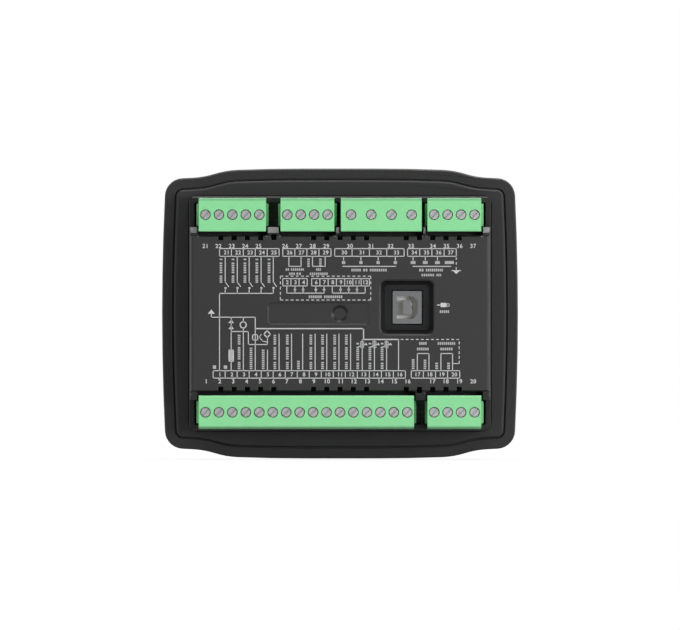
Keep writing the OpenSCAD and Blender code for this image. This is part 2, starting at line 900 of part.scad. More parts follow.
// Square pins, from under the board up into the plugs
module header_pins() {
    color("#c9ccd0") upright() for (b = BLOCKS) at_poles(b)
        block(pin_w, pin_w, main_board_z - pin_tail, pin_top_z);
}

// Section of a plug across its row: a nose that enters the header, and a body with a rounded
// outer edge and a finger step low on the outer side
function plug_section() =
    let (
        r = plug_round,
        out = plug_t / 2,
        nose = nose_t / 2
    )
    concat(
        [
            [-nose, nose_z],
            [nose, nose_z],
            [nose, plug_z],
            [out - 1.2, plug_z],
            [out, plug_z + 1.2],
        ],
        [for (i = [0 : 4]) [out - r + r * cos(22.5 * i), plug_top_z - r + r * sin(22.5 * i)]],
        [
            [-out + 0.3, plug_top_z],
            [-out, plug_top_z - 0.3],
            [-out, plug_z],
            [-nose, plug_z],
        ]
    );

// What is cut out of a plug at each pole: the screw hole, the cage's room, the wire entry with
// its funnel mouth, and the hole for the header's pin
module pole_cuts() {
    out = plug_t / 2;
    rod(clamp_screw_hole_dia, cage_z + cage_h, plug_top_z + over);
    block(cage_w + 2 * cage_gap, cage_t + 2 * cage_gap, cage_z - cage_gap, cage_z + cage_h + cage_gap);
    translate([0, out / 2, 0])
        block(wire_w, out + 2 * over, wire_z - wire_w / 2, wire_z + wire_w / 2);
    translate([0, out, 0]) block(wire_mouth_w, 2 * wire_mouth_d,
        wire_z - wire_mouth_w / 2, wire_z + wire_mouth_w / 2);
    block(contact_hole_w, contact_hole_w, nose_z - over, cage_z);
}

module plug(b) {
    w = block_w(b);
    n = poles(b);
    end_cut = header_end + 2 * plug_gap - (b[2] > pitch ? wide_ear_w : ear_w);
    color("#8edb9e") upright() in_row(b) difference() {
        along_x(plug_section(), w);
        for (i = [0 : n - 1]) translate([(i - (n - 1) / 2) * b[2], 0, 0]) pole_cuts();
        for (side = [-1, 1]) translate([side * (w / 2), 0, 0])
            block(2 * end_cut, plug_t + over, nose_z - over, plug_z);
        for (i = [1 : n - 1]) translate([(i - n / 2) * b[2], plug_t / 2, 0])
            block(0.5, 0.8, plug_z - over, plug_top_z - 2.4);
    }
}

module clamp_screws(b) {
    head_z = plug_top_z - clamp_screw_sunk;
    neck_z = head_z - clamp_screw_head_l;
    color("#b9bdbf") upright() at_poles(b) difference() {
        union() {
            rod(screw_dia, neck_z, head_z);
            rod(clamp_screw_shank_dia, wire_z + wire_w / 2 + 0.3, head_z - over);
        }
        rotate(45) block(screw_dia + over, screw_slot_w, head_z - screw_slot_d, head_z + over);
    }
}

// The cages that the screws draw up, each a square tube with a tapped top
module clamp_cages(b) {
    color("#cfd2d4") upright() at_poles(b) difference() {
        block(cage_w, cage_t, cage_z, cage_z + cage_h);
        block(cage_w - 2 * cage_wall, cage_t + over, cage_z + cage_wall, cage_z + cage_h - 2 * cage_wall);
        rod(clamp_screw_shank_dia + 0.1, cage_z + cage_wall, cage_z + cage_h + over);
    }
}

module header_1_16() { header(BLOCKS[0]); }
module header_17_20() { header(BLOCKS[1]); }
module header_21_25() { header(BLOCKS[2]); }
module header_26_29() { header(BLOCKS[3]); }
module header_30_33() { header(BLOCKS[4]); }
module header_34_37() { header(BLOCKS[5]); }
module plug_1_16() { plug(BLOCKS[0]); }
module plug_17_20() { plug(BLOCKS[1]); }
module plug_21_25() { plug(BLOCKS[2]); }
module plug_26_29() { plug(BLOCKS[3]); }
module plug_30_33() { plug(BLOCKS[4]); }
module plug_34_37() { plug(BLOCKS[5]); }
module screws_1_16() { clamp_screws(BLOCKS[0]); }
module screws_17_20() { clamp_screws(BLOCKS[1]); }
module screws_21_25() { clamp_screws(BLOCKS[2]); }
module screws_26_29() { clamp_screws(BLOCKS[3]); }
module screws_30_33() { clamp_screws(BLOCKS[4]); }
module screws_34_37() { clamp_screws(BLOCKS[5]); }
module clamps_1_16() { clamp_cages(BLOCKS[0]); }
module clamps_17_20() { clamp_cages(BLOCKS[1]); }
module clamps_21_25() { clamp_cages(BLOCKS[2]); }
module clamps_26_29() { clamp_cages(BLOCKS[3]); }
module clamps_30_33() { clamp_cages(BLOCKS[4]); }
module clamps_34_37() { clamp_cages(BLOCKS[5]); }

front_bezel();
rear_housing();
panel_gasket();
front_film();
display_lens();
lcd_glass();
lcd_backlight();
lcd_frame();
display_board();
main_board();
board_spacers();
board_screws();
board_link();
usb_shell();
usb_insulator();
usb_contacts();
header_pins();
key_switches();
light_pipes();
indicator_leds();
relays();
capacitors();
current_transformers();
processor();
key_stop();
key_manual();
key_auto();
key_start();
key_lamps();
key_scroll();
header_1_16();
header_17_20();
header_21_25();
header_26_29();
header_30_33();
header_34_37();
plug_1_16();
plug_17_20();
plug_21_25();
plug_26_29();
plug_30_33();
plug_34_37();
screws_1_16();
screws_17_20();
screws_21_25();
screws_26_29();
screws_30_33();
screws_34_37();
clamps_1_16();
clamps_17_20();
clamps_21_25();
clamps_26_29();
clamps_30_33();
clamps_34_37();
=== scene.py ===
# %% [markdown]
# # A lighting tower controller, seen from behind
#
# This module drops into a hole in a steel panel. From behind it shows a wide bezel with a rubber
# ring, a black plastic box with a printed wiring diagram, six light green terminal blocks that
# pull off, and a square data socket at the bottom of a pocket.
#
# The solid shapes come finished from the frame: they are moulded and machined parts, and exact
# solids suit them. What is left for this lesson is what a solid can't say: how the plastics,
# rubber and metals take the light, the white printing on the deck, and the marks on the keys.

# %% Load the frame
import json
import math

import bpy
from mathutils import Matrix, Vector


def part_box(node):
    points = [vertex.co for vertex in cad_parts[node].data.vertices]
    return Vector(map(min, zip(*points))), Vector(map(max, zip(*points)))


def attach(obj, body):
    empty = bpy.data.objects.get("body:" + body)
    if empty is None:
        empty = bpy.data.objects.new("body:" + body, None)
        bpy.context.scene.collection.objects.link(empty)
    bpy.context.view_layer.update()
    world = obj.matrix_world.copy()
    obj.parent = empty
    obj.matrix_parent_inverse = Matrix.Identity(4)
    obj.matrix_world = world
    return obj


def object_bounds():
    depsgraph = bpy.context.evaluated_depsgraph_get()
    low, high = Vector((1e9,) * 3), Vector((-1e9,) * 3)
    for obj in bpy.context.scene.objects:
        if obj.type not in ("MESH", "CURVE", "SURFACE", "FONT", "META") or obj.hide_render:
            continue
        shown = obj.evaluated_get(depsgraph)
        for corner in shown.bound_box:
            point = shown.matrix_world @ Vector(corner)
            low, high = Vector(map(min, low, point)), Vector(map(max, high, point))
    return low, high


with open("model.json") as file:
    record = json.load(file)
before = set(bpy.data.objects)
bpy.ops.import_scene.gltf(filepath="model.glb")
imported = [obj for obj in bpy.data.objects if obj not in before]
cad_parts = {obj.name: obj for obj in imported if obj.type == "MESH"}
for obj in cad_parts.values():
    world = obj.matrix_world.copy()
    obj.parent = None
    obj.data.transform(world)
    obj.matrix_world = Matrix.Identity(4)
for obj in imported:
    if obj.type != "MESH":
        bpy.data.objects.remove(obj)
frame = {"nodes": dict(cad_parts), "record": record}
nodes = frame["nodes"]
cad_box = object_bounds()

# %% [markdown]
# ## Working face down on a bench
#
# Everything on the back is easiest to place as it is seen: x to the right, y up, and z out of the
# back towards the viewer, all in millimetres. The frame has the module upright, with +Z up and
# the back facing +Y, so seen from behind its X runs to the left. One small function turns bench
# millimetres into the frame's metres, and the heights of the faces that carry print are asked
# from the frame, so that the print always lies on them.

# %% Bench coordinates
MM = 0.001


def stand(x, y, z):
    """A point on the bench, in mm, as a point of the upright module, in metres."""
    return Vector((-x, z, y)) * MM


def bench_depths(node):
    """The lowest and highest z of a node, on the bench, in mm."""
    low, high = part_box(node)
    return low.y / MM, high.y / MM


deck_z = bench_depths("rear_housing")[1]
film_z = bench_depths("front_film")[0]
plug_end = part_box("plug_21_25")[1].z / MM
print("deck at", round(deck_z, 2), "mm, film at", round(film_z, 2), "mm, plugs end at", round(plug_end, 2))

# %% [markdown]
# ## Colours
#
# Colours are picked as they would be on a screen, from 0 to 255, while shaders work in linear
# light. The usual curve turns one into the other.


# %% Screen colours to linear light
def linear(r, g, b):
    """A screen colour, 0 to 255, as a linear RGBA colour."""
    def channel(v):
        v /= 255
        return v / 12.92 if v <= 0.04045 else ((v + 0.055) / 1.055) ** 2.4
    return (channel(r), channel(g), channel(b), 1.0)


print("a screen grey of 128 is", round(linear(128, 128, 128)[0], 3), "in linear light")

# %% [markdown]
# ## Making node groups by hand
#
# An effect that several finishes share, such as the fine spark pattern of a mould, is built once
# as a node group and then dropped into each material with its own values. Two helpers keep this
# readable: one opens a group with named sockets, the other adds a node and wires its inputs.
# Wiring in code is longer than drawing noodles, but it can be read, copied and tested.


# %% Helpers for node trees
def open_group(name, inputs, outputs):
    """A new shader group, with its input and output nodes."""
    tree = bpy.data.node_groups.new(name, "ShaderNodeTree")
    for label, value in inputs.items():
        socket = tree.interface.new_socket(label, in_out="INPUT", socket_type="NodeSocketFloat")
        socket.default_value = value
    for label, kind in outputs.items():
        tree.interface.new_socket(label, in_out="OUTPUT", socket_type=f"NodeSocket{kind}")
    return tree, tree.nodes.new("NodeGroupInput"), tree.nodes.new("NodeGroupOutput")


def add(tree, kind, wires=None, **settings):
    """Adds a node. Wires name an input and give it a value or another node's output."""
    made = tree.nodes.new(kind)
    for key, value in settings.items():
        setattr(made, key, value)
    for key, value in (wires or {}).items():
        if isinstance(value, bpy.types.NodeSocket):
            tree.links.new(value, made.inputs[key])
        else:
            made.inputs[key].default_value = value
    return made


def math_node(tree, operation, a, b=0.5, clamp=False):
    """A Math node's output."""
    return add(tree, "ShaderNodeMath", {0: a, 1: b}, operation=operation, use_clamp=clamp).outputs[0]


def spread(tree, value, low, high, to_low=0.0, to_high=1.0):
    """Stretches a value from one range to another, and holds it inside."""
    return add(tree, "ShaderNodeMapRange", {
        "Value": value, "From Min": low, "From Max": high, "To Min": to_low, "To Max": to_high,
    }).outputs["Result"]


print("helpers ready")

# %% [markdown]
# ## Moulded grain
#
# The mould of a black plastic case is spark eroded: its surface is covered with pits a few
# tenths of a millimetre across, which is why the plastic looks matt. Real pits are far too many
# to model, so noise at that size drives a bump, and a second, slower noise gives the cloudy
# difference in sheen that large mouldings have. Object coordinates are used because the pieces
# have no unwrapped surface, and the noise then has the same size everywhere.


# %% Group: moulded grain
def make_moulded_grain():
    tree, came_in, goes_out = open_group(
        "Moulded grain", {"Grain mm": 0.3, "Cloud mm": 14.0}, {"Height": "Float", "Cloud": "Float"})
    place = add(tree, "ShaderNodeTexCoord").outputs["Object"]

    def noise(size_mm, detail):
        scale = math_node(tree, "DIVIDE", 1 / MM, size_mm)
        return add(tree, "ShaderNodeTexNoise", {
            "Vector": place, "Scale": scale, "Detail": detail, "Roughness": 0.6,
        }).outputs["Fac"]

    pits = noise(came_in.outputs["Grain mm"], 2.0)
    clouds = noise(came_in.outputs["Cloud mm"], 4.0)
    tree.links.new(pits, goes_out.inputs["Height"])
    tree.links.new(spread(tree, clouds, 0.3, 0.7), goes_out.inputs["Cloud"])
    return tree


moulded_grain = make_moulded_grain()
print("made", moulded_grain.name)

# %% [markdown]
# ## Soft edges
#
# No moulded or machined edge is truly sharp: each has a radius of a tenth of a millimetre or two,
# and that thin line catches the light. Cutting a bevel on hundreds of small solids would be slow
# and fragile. The Bevel node bends the surface normal near an edge instead, as if it were
# rounded. Where the bent and the flat normal differ, there is an edge, and this also gives a mask
# for a tone painted on edges: a painted highlight on most finishes, painted shade on a few.


# %% Group: soft edges
def make_soft_edges():
    tree, came_in, goes_out = open_group(
        "Soft edges", {"Radius mm": 0.2}, {"Normal": "Vector", "Edge": "Float"})
    radius = math_node(tree, "MULTIPLY", came_in.outputs["Radius mm"], MM)
    bent = add(tree, "ShaderNodeBevel", {"Radius": radius}, samples=6).outputs["Normal"]
    flat = add(tree, "ShaderNodeNewGeometry").outputs["Normal"]
    cosine = add(tree, "ShaderNodeVectorMath", {0: bent, 1: flat}, operation="DOT_PRODUCT")
    edge = spread(tree, cosine.outputs["Value"], 0.99, 0.8)
    tree.links.new(bent, goes_out.inputs["Normal"])
    tree.links.new(edge, goes_out.inputs["Edge"])
    return tree


soft_edges = make_soft_edges()
print("made", soft_edges.name)

# %% [markdown]
# ## Settled dust
#
# Even a new module carries a little dust on the faces that look up. The mask is the upward part
# of the surface normal, broken up by noise, and each finish decides how much of it to show.


# %% Group: settled dust
def make_settled_dust():
    tree, came_in, goes_out = open_group("Settled dust", {"Amount": 0.1}, {"Dust": "Float"})
    normal = add(tree, "ShaderNodeNewGeometry").outputs["Normal"]
    up = add(tree, "ShaderNodeSeparateXYZ", {0: normal}).outputs["Z"]
    place = add(tree, "ShaderNodeTexCoord").outputs["Object"]
    specks = add(tree, "ShaderNodeTexNoise", {
        "Vector": place, "Scale": 900.0, "Detail": 3.0, "Roughness": 0.7,
    }).outputs["Fac"]
    broken = math_node(tree, "MULTIPLY", spread(tree, up, 0.2, 1.0), spread(tree, specks, 0.4, 0.65))
    dust = math_node(tree, "MULTIPLY", broken, came_in.outputs["Amount"], clamp=True)
    tree.links.new(dust, goes_out.inputs["Dust"])
    return tree


settled_dust = make_settled_dust()
print("made", settled_dust.name)

# %% [markdown]
# ## Turned metal
#
# The screw heads and spacers are turned, so a fine set of rings runs round them. Stretched noise
# gives the same broken streaks as a cutting tool, and it drives both the sheen and a low bump.


# %% Group: tool marks
def make_tool_marks():
    tree, came_in, goes_out = open_group("Tool marks", {"Pitch mm": 0.25}, {"Streak": "Float"})
    place = add(tree, "ShaderNodeTexCoord").outputs["Object"]
    scale = math_node(tree, "DIVIDE", 1 / MM, came_in.outputs["Pitch mm"])
    along = add(tree, "ShaderNodeMapping", {"Vector": place, "Rotation": (0, math.radians(45), 0),
                                            "Scale": (1.0, 1.0, 0.06)}).outputs["Vector"]
    streak = add(tree, "ShaderNodeTexNoise", {
        "Vector": along, "Scale": scale, "Detail": 3.0, "Roughness": 0.65,
    }).outputs["Fac"]
    tree.links.new(spread(tree, streak, 0.3, 0.7), goes_out.inputs["Streak"])
    return tree


tool_marks = make_tool_marks()
print("made", tool_marks.name)

# %% [markdown]
# ## Starting a material
#
# Three more helpers serve every finish below: one drops a shared group into a material with its
# own values, one mixes two colours by a mask, and one opens an empty material.


# %% Helpers for materials
def use(tree, group, **values):
    """Drops a group into a material, with its own values."""
    made = add(tree, "ShaderNodeGroup", node_tree=group)
    for key, value in values.items():
        made.inputs[key.replace("_", " ")].default_value = value
    return made


def blend(tree, amount, a, b):
    """Mixes two colours by a mask."""
    mix = add(tree, "ShaderNodeMix", data_type="RGBA")
    for index, value in ((0, amount), (6, a), (7, b)):
        if isinstance(value, bpy.types.NodeSocket):
            tree.links.new(value, mix.inputs[index])
        else:
            mix.inputs[index].default_value = value
    return mix.outputs[2]


def new_material(name):
    """An empty node material, with its tree and its output node."""
    material = bpy.data.materials.new(name)
    material.use_nodes = True
    tree = material.node_tree
    tree.nodes.clear()
    return material, tree, tree.nodes.new("ShaderNodeOutputMaterial")


print("helpers ready")

# %% [markdown]
# ## A finish for plastics and rubber
#
# The black case, the gasket, the keys and the green blocks are all plastics that differ in
# colour, gloss and grain. One function builds them all: the cloud mask shifts the colour and the
# roughness a little, edges take another tone, which is painted light (a painted highlight on most
# plastics, painted shade on a few), dust lies on top, and grain and soft edges together give the
# normal. The Principled shader stays in the material, where it can be found and changed.
#
# Two finishes change with place, and each has a mask made from object coordinates. From a set
# height down, a piece takes another tone and gloss. On the housing this paints shade on the
# lower faces: the deck and its rounded edges keep a darker but glossier tone that reads paler,
# and the shoulders below take a duller one. On the socket's insulator it paints light: deep down
# it turns near white. The green blocks grow darker over the last millimetre before their outer
# edge, as painted shade.


# %% A moulded finish
DUST_COLOUR = linear(150, 146, 138)
PAINTED_DEPTH_FADE_MM = 0.5
SHADE_WIDTH_MM = 1.3


def coat_mask(tree, from_mm):
    """1 behind that bench height and 0 in front of it."""
    place = add(tree, "ShaderNodeTexCoord").outputs["Object"]
    height = add(tree, "ShaderNodeSeparateXYZ", {0: place}).outputs["Y"]
    return spread(tree, height, (from_mm - PAINTED_DEPTH_FADE_MM) * MM, from_mm * MM)


def outer_edge_mask(tree, end_mm):
    """Rises to 1 on the back face where it ends, that far above and below the middle."""
    place = add(tree, "ShaderNodeTexCoord").outputs["Object"]
    height = add(tree, "ShaderNodeSeparateXYZ", {0: place}).outputs["Z"]
    outward = math_node(tree, "ABSOLUTE", height)
    normal = add(tree, "ShaderNodeNewGeometry").outputs["Normal"]
    backward = add(tree, "ShaderNodeSeparateXYZ", {0: normal}).outputs["Y"]
    return math_node(tree, "MULTIPLY", spread(tree, backward, 0.2, 0.6),
                     spread(tree, outward, (end_mm - SHADE_WIDTH_MM) * MM, end_mm * MM))


def moulded(name, colour, cloudy, edge, roughness, grain_mm=0.3, bump=0.15, radius_mm=0.2,
            dust=0.06, specular=0.5, painted_depth_tone=None, painted_depth_specular=0.1, painted_depth_from_mm=0.0,
            shade=None, shade_to_mm=0.0):
    """A moulded finish. colour, cloudy, edge, painted_depth_tone and shade are screen colours.

    The edge colour is painted on edges: a painted highlight where it is paler than the body,
    painted shade where it is darker. Where a painted_depth_tone is given, the colour holds above
    that bench height and the piece turns to the painted tone below it, which paints shade or light
    by the tone given. Where a shade is given, the back face turns to it at that distance above or
    below the middle, as painted shade.
    """
    material, tree, output = new_material(name)
    grain = use(tree, moulded_grain, Grain_mm=grain_mm)
    edges = use(tree, soft_edges, Radius_mm=radius_mm)
    shine, wear_and_painted_edges = specular, edges.outputs["Edge"]
    dusty = use(tree, settled_dust, Amount=dust)
    base = blend(tree, grain.outputs["Cloud"], linear(*colour), linear(*cloudy))
    # Below a set height the tone and gloss change: painted shade on the housing's lower faces, painted light
    # deep in the socket's insulator.
    if painted_depth_tone:
        above_painted_depth = coat_mask(tree, painted_depth_from_mm)
        base = blend(tree, above_painted_depth, linear(*painted_depth_tone), base)
        shine = spread(tree, above_painted_depth, 0.0, 1.0, painted_depth_specular, specular)
        wear_and_painted_edges = math_node(tree, "MULTIPLY", wear_and_painted_edges, above_painted_depth)
    # The edge colour is painted light: a painted highlight where it is paler than the body, painted shade
    # where it is darker.
    with_painted_light = blend(tree, wear_and_painted_edges, base, linear(*edge))
    # Painted shade: the back face darkens over the last part before the outer edge.
    if shade:
        with_painted_light = blend(tree, outer_edge_mask(tree, shade_to_mm), with_painted_light, linear(*shade))
    settled = blend(tree, dusty.outputs["Dust"], with_painted_light, DUST_COLOUR)
    rough = spread(tree, grain.outputs["Cloud"], 0.0, 1.0, roughness - 0.04, roughness + 0.05)
    pits = add(tree, "ShaderNodeBump", {
        "Strength": bump, "Distance": 0.05 * MM, "Height": grain.outputs["Height"],
        "Normal": edges.outputs["Normal"],
    })
    shader = add(tree, "ShaderNodeBsdfPrincipled", {
        "Base Color": settled, "Roughness": rough, "Normal": pits.outputs["Normal"],
        "Specular IOR Level": shine,
    })
    tree.links.new(shader.outputs["BSDF"], output.inputs["Surface"])
    return material


print("one function for every plastic")

# %% The plastics
# Each edge colour is painted on the edges: paler than the body it is a painted highlight, darker (the green
# blocks and the socket's insulator) it is painted shade.
PLASTICS = {
    "bezel_plastic": dict(
        colour=(33, 33, 33), cloudy=(36, 36, 36), edge=(50, 50, 50), roughness=0.5,
        bump=0.2, specular=0.25),
    # From 3.5 mm below the deck down, the housing takes a duller tone: painted shade on its lower faces.
    "housing_plastic": dict(
        colour=(21, 21, 21), cloudy=(24, 24, 24), edge=(70, 70, 70), roughness=0.42,
        bump=0.2, radius_mm=0.35, specular=0.34, painted_depth_tone=(44, 44, 44), painted_depth_from_mm=deck_z - 3.5),
    "gasket_rubber": dict(
        colour=(42, 42, 43), cloudy=(45, 45, 45), edge=(56, 56, 56), roughness=0.6,
        grain_mm=0.5, radius_mm=0.3, specular=0.25),
    "film": dict(
        colour=(30, 32, 35), cloudy=(34, 36, 39), edge=(60, 62, 64), roughness=0.38,
        grain_mm=0.15, bump=0.1, radius_mm=0.1),
    "dark_plastic": dict(
        colour=(20, 20, 21), cloudy=(26, 26, 27), edge=(44, 44, 44), roughness=0.45),
    "key_plastic": dict(
        colour=(58, 60, 63), cloudy=(64, 66, 69), edge=(96, 98, 100), roughness=0.42,
        grain_mm=0.2, radius_mm=0.25),
    # The plug's shade darkens its outer edge as painted shade, and its darker edge colour is painted shade
    # too.
    "plug_plastic": dict(
        colour=(138, 219, 154), cloudy=(142, 222, 158), edge=(126, 198, 140), roughness=0.45,
        grain_mm=0.6, bump=0.05, radius_mm=0.1, dust=0.02, specular=0.25,
        shade=(46, 80, 54), shade_to_mm=plug_end),
    "header_plastic": dict(
        colour=(106, 182, 122), cloudy=(110, 186, 126), edge=(150, 214, 162), roughness=0.4,
        grain_mm=0.6, bump=0.05, radius_mm=0.35, dust=0.02),
    # Deeper than 8 mm below the deck the insulator turns near white: painted light in the socket's opening.
    "insulator_plastic": dict(
        colour=(130, 131, 132), cloudy=(134, 135, 136), edge=(66, 66, 67), roughness=0.42,
        bump=0.08, radius_mm=0.2, dust=0.0,
        painted_depth_tone=(248, 248, 246), painted_depth_specular=0.5, painted_depth_from_mm=deck_z - 8.0),
    "backlight_plastic": dict(
        colour=(226, 226, 218), cloudy=(232, 232, 226), edge=(240, 240, 235), roughness=0.5),
    "chip_plastic": dict(
        colour=(228, 226, 205), cloudy=(234, 232, 214), edge=(242, 240, 226), roughness=0.4),
    "relay_plastic": dict(
        colour=(30, 52, 92), cloudy=(34, 57, 98), edge=(70, 92, 130), roughness=0.35),
}
finish = {name: moulded(name, **values) for name, values in PLASTICS.items()}
print("plastics:", len(finish))

# %% [markdown]
# ## Metals
#
# The clamp screws and cages are nickel plated steel, the socket's shell is tin plated, and its
# contacts have a thin flash of gold. A metal has no colour of its own under the light: it shows
# what is round it, tinted. So Metallic is 1, the tint is the base colour, and the tool marks vary
# the roughness, which breaks the reflection up as real turning does.


# %% Metals
def plated(name, tint, roughness, pitch_mm=0.25, bump=0.12, radius_mm=0.12):
    """A plated metal with the marks of the tool under its plating."""
    material, tree, output = new_material(name)
    marks = use(tree, tool_marks, Pitch_mm=pitch_mm)
    edges = use(tree, soft_edges, Radius_mm=radius_mm)
    dull = [0.82 * v for v in tint]
    colour = blend(tree, marks.outputs["Streak"], linear(*dull), linear(*tint))
    rough = spread(tree, marks.outputs["Streak"], 0.0, 1.0, roughness - 0.06, roughness + 0.08)
    lines = add(tree, "ShaderNodeBump", {
        "Strength": bump, "Distance": 0.03 * MM, "Height": marks.outputs["Streak"],
        "Normal": edges.outputs["Normal"],
    })
    shader = add(tree, "ShaderNodeBsdfPrincipled", {
        "Base Color": colour, "Roughness": rough, "Metallic": 1.0,
        "Normal": lines.outputs["Normal"],
    })
    tree.links.new(shader.outputs["BSDF"], output.inputs["Surface"])
    return material


finish |= {
    "screw_metal": plated("screw_metal", (156, 158, 157), 0.4),
    "clamp_metal": plated("clamp_metal", (180, 180, 178), 0.4),
    "shell_metal": plated("shell_metal", (112, 113, 114), 0.5, pitch_mm=0.4),
    "pin_metal": plated("pin_metal", (190, 190, 186), 0.35),
    "spacer_metal": plated("spacer_metal", (205, 206, 208), 0.35),
    "contact_metal": plated("contact_metal", (196, 186, 160), 0.3),
    "can_metal": plated("can_metal", (92, 96, 104), 0.4),
}
print("finishes:", len(finish))

# %% [markdown]
# ## Circuit boards
#
# Through the long slots the main board shows as a grey floor. This board's lacquer is matt grey,
# and copper runs lie under it as slightly raised, slightly paler lines. Runs leave the blocks
# side by side and turn at right angles, so a brick pattern stretched along the board gives lines
# of the right kind, and bare laminate fills the rest.


# %% Lacquered board
def lacquered_board():
    material, tree, output = new_material("board")
    place = add(tree, "ShaderNodeTexCoord").outputs["Object"]
    turned = add(tree, "ShaderNodeMapping", {
        "Vector": place, "Rotation": (math.radians(90), 0, 0),
    }).outputs["Vector"]
    runs = add(tree, "ShaderNodeTexBrick", {
        "Vector": turned, "Scale": 90.0, "Mortar Size": 0.035, "Mortar Smooth": 0.2,
        "Brick Width": 1.4, "Row Height": 0.16,
    }, offset=0.4)
    edges = use(tree, soft_edges, Radius_mm=0.1)
    colour = blend(tree, runs.outputs["Fac"], linear(112, 115, 111), linear(124, 127, 122))
    raised = add(tree, "ShaderNodeBump", {
        "Strength": 0.4, "Distance": 0.04 * MM, "Height": runs.outputs["Fac"],
        "Normal": edges.outputs["Normal"],
    })
    shader = add(tree, "ShaderNodeBsdfPrincipled", {
        "Base Color": colour, "Roughness": 0.6, "Normal": raised.outputs["Normal"],
        "Specular IOR Level": 0.12,
    })
    tree.links.new(shader.outputs["BSDF"], output.inputs["Surface"])
    return material


finish["board"] = lacquered_board()
print("made", finish["board"].name)

# %% [markdown]
# ## Clear pieces
#
# The window and the light pipes are clear plastic. Transmission with the index of acrylic does
# the work, and a very faint noise in the roughness keeps the large window from looking like a
# perfect mirror. The screen behind it is a liquid crystal glass: grey green when it is off, with
# a fine grid of picture elements that a pair of crossed wave patterns gives.


# %% Clear plastic and the screen
def clear_plastic(name, tint, roughness):
    """Acrylic, clear right through."""
    material, tree, output = new_material(name)
    grain = use(tree, moulded_grain, Grain_mm=0.8, Cloud_mm=25.0)
    rough = spread(tree, grain.outputs["Cloud"], 0.0, 1.0, roughness, roughness + 0.03)
    paler = [min(255, v + 3) for v in tint]
    colour = blend(tree, grain.outputs["Cloud"], linear(*tint), linear(*paler))
    shader = add(tree, "ShaderNodeBsdfPrincipled", {
        "Base Color": colour, "Roughness": rough, "Transmission Weight": 1.0, "IOR": 1.49,
    })
    tree.links.new(shader.outputs["BSDF"], output.inputs["Surface"])
    return material


def screen_glass():
    """The switched-off display, with its grid of picture elements."""
    material, tree, output = new_material("screen_glass")
    place = add(tree, "ShaderNodeTexCoord").outputs["Object"]
    waves = [
        add(tree, "ShaderNodeTexWave", {"Vector": place, "Scale": 620.0}, bands_direction=axis,
            wave_profile="SIN").outputs["Fac"]
        for axis in ("X", "Z")
    ]
    columns, rows = (spread(tree, wave, 0.05, 0.3) for wave in waves)
    grid = math_node(tree, "MULTIPLY", columns, rows)
    colour = blend(tree, grid, linear(58, 70, 64), linear(84, 100, 90))
    shader = add(tree, "ShaderNodeBsdfPrincipled", {"Base Color": colour, "Roughness": 0.12})
    tree.links.new(shader.outputs["BSDF"], output.inputs["Surface"])
    return material


finish |= {
    "lens": clear_plastic("lens", (214, 220, 222), 0.02),
    "clear_plastic": clear_plastic("clear_plastic", (230, 232, 232), 0.15),
    "screen_glass": screen_glass(),
}
print("finishes:", len(finish))

# %% [markdown]
# ## Dressing the frame
#
# The record names a finish for each node, and the finishes above carry the same names, so one
# loop dresses every solid. A node that has no finish would stop the script here.

# %% Give each node its finish
for part in frame["record"]["subparts"]:
    mesh = nodes[part["node"]].data
    mesh.materials.clear()
    mesh.materials.append(finish[part["material_slot"]])

# %% [markdown]
# ## Drawing with ink
#
# The deck carries a white screen print: terminal numbers, numbered boxes and a wiring diagram.
# Screen printed ink is a film about 20 micrometres thick with crisp edges. It could be painted
# into the deck's material, but lines thinner than half a millimetre need exact places, so each
# line is drawn as a flat strip of mesh just above the deck. Small blocks of a paler, thinner ink
# stand in rows beside the lines.


# %% Inks
def ink(name, colour, thin=0.0):
    """A printed ink, with pinholes where it is thin."""
    material, tree, output = new_material(name)
    place = add(tree, "ShaderNodeTexCoord").outputs["Object"]
    specks = add(tree, "ShaderNodeTexNoise", {
        "Vector": place, "Scale": 3500.0, "Detail": 2.0,
    }).outputs["Fac"]
    wear_and_painted_edges = spread(tree, specks, 0.6, 0.75, 0.0, thin)
    tone = blend(tree, wear_and_painted_edges, linear(*colour), linear(70, 70, 70))
    raised = add(tree, "ShaderNodeBump", {"Strength": 0.1, "Distance": 0.02 * MM, "Height": specks})
    shader = add(tree, "ShaderNodeBsdfPrincipled", {
        "Base Color": tone, "Roughness": 0.55, "Normal": raised.outputs["Normal"],
        "Specular IOR Level": 0.3,
    })
    tree.links.new(shader.outputs["BSDF"], output.inputs["Surface"])
    return material


white_ink = ink("white_ink", (206, 206, 207), 0.35)
pale_ink = ink("pale_ink", (176, 176, 177), 0.35)
grey_ink = ink("grey_ink", (150, 152, 154), 0.3)
red_ink = ink("red_ink", (196, 40, 34), 0.2)
green_ink = ink("green_ink", (42, 160, 74), 0.2)
black_ink = ink("black_ink", (14, 14, 15))
print("inks ready")

# %% [markdown]
# ## Shapes to print
#
# A shape is a list of corners in bench millimetres, and a drawing is a list of shapes. A line is
# a thin rectangle, a circle is a ring of short ones, and everything in the diagram is put
# together from these.


# %% Lines and boxes
LINE = 0.31  # the width of a printed line, in mm


def stroke(x0, y0, x1, y1, w=LINE):
    """A straight line with square ends, as one quad."""
    length = math.hypot(x1 - x0, y1 - y0)
    ux, uy = (x1 - x0) / length * w / 2, (y1 - y0) / length * w / 2
    return [(x0 - ux + uy, y0 - uy - ux), (x1 + ux + uy, y1 + uy - ux),
            (x1 + ux - uy, y1 + uy + ux), (x0 - ux - uy, y0 - uy + ux)]


def run(*points, w=LINE):
    """A line through several points."""
    return [stroke(*a, *b, w) for a, b in zip(points, points[1:])]


def frame_box(x0, y0, x1, y1, w=LINE):
    """The outline of a box."""
    return run((x0, y0), (x1, y0), (x1, y1), (x0, y1), (x0, y0), w=w)


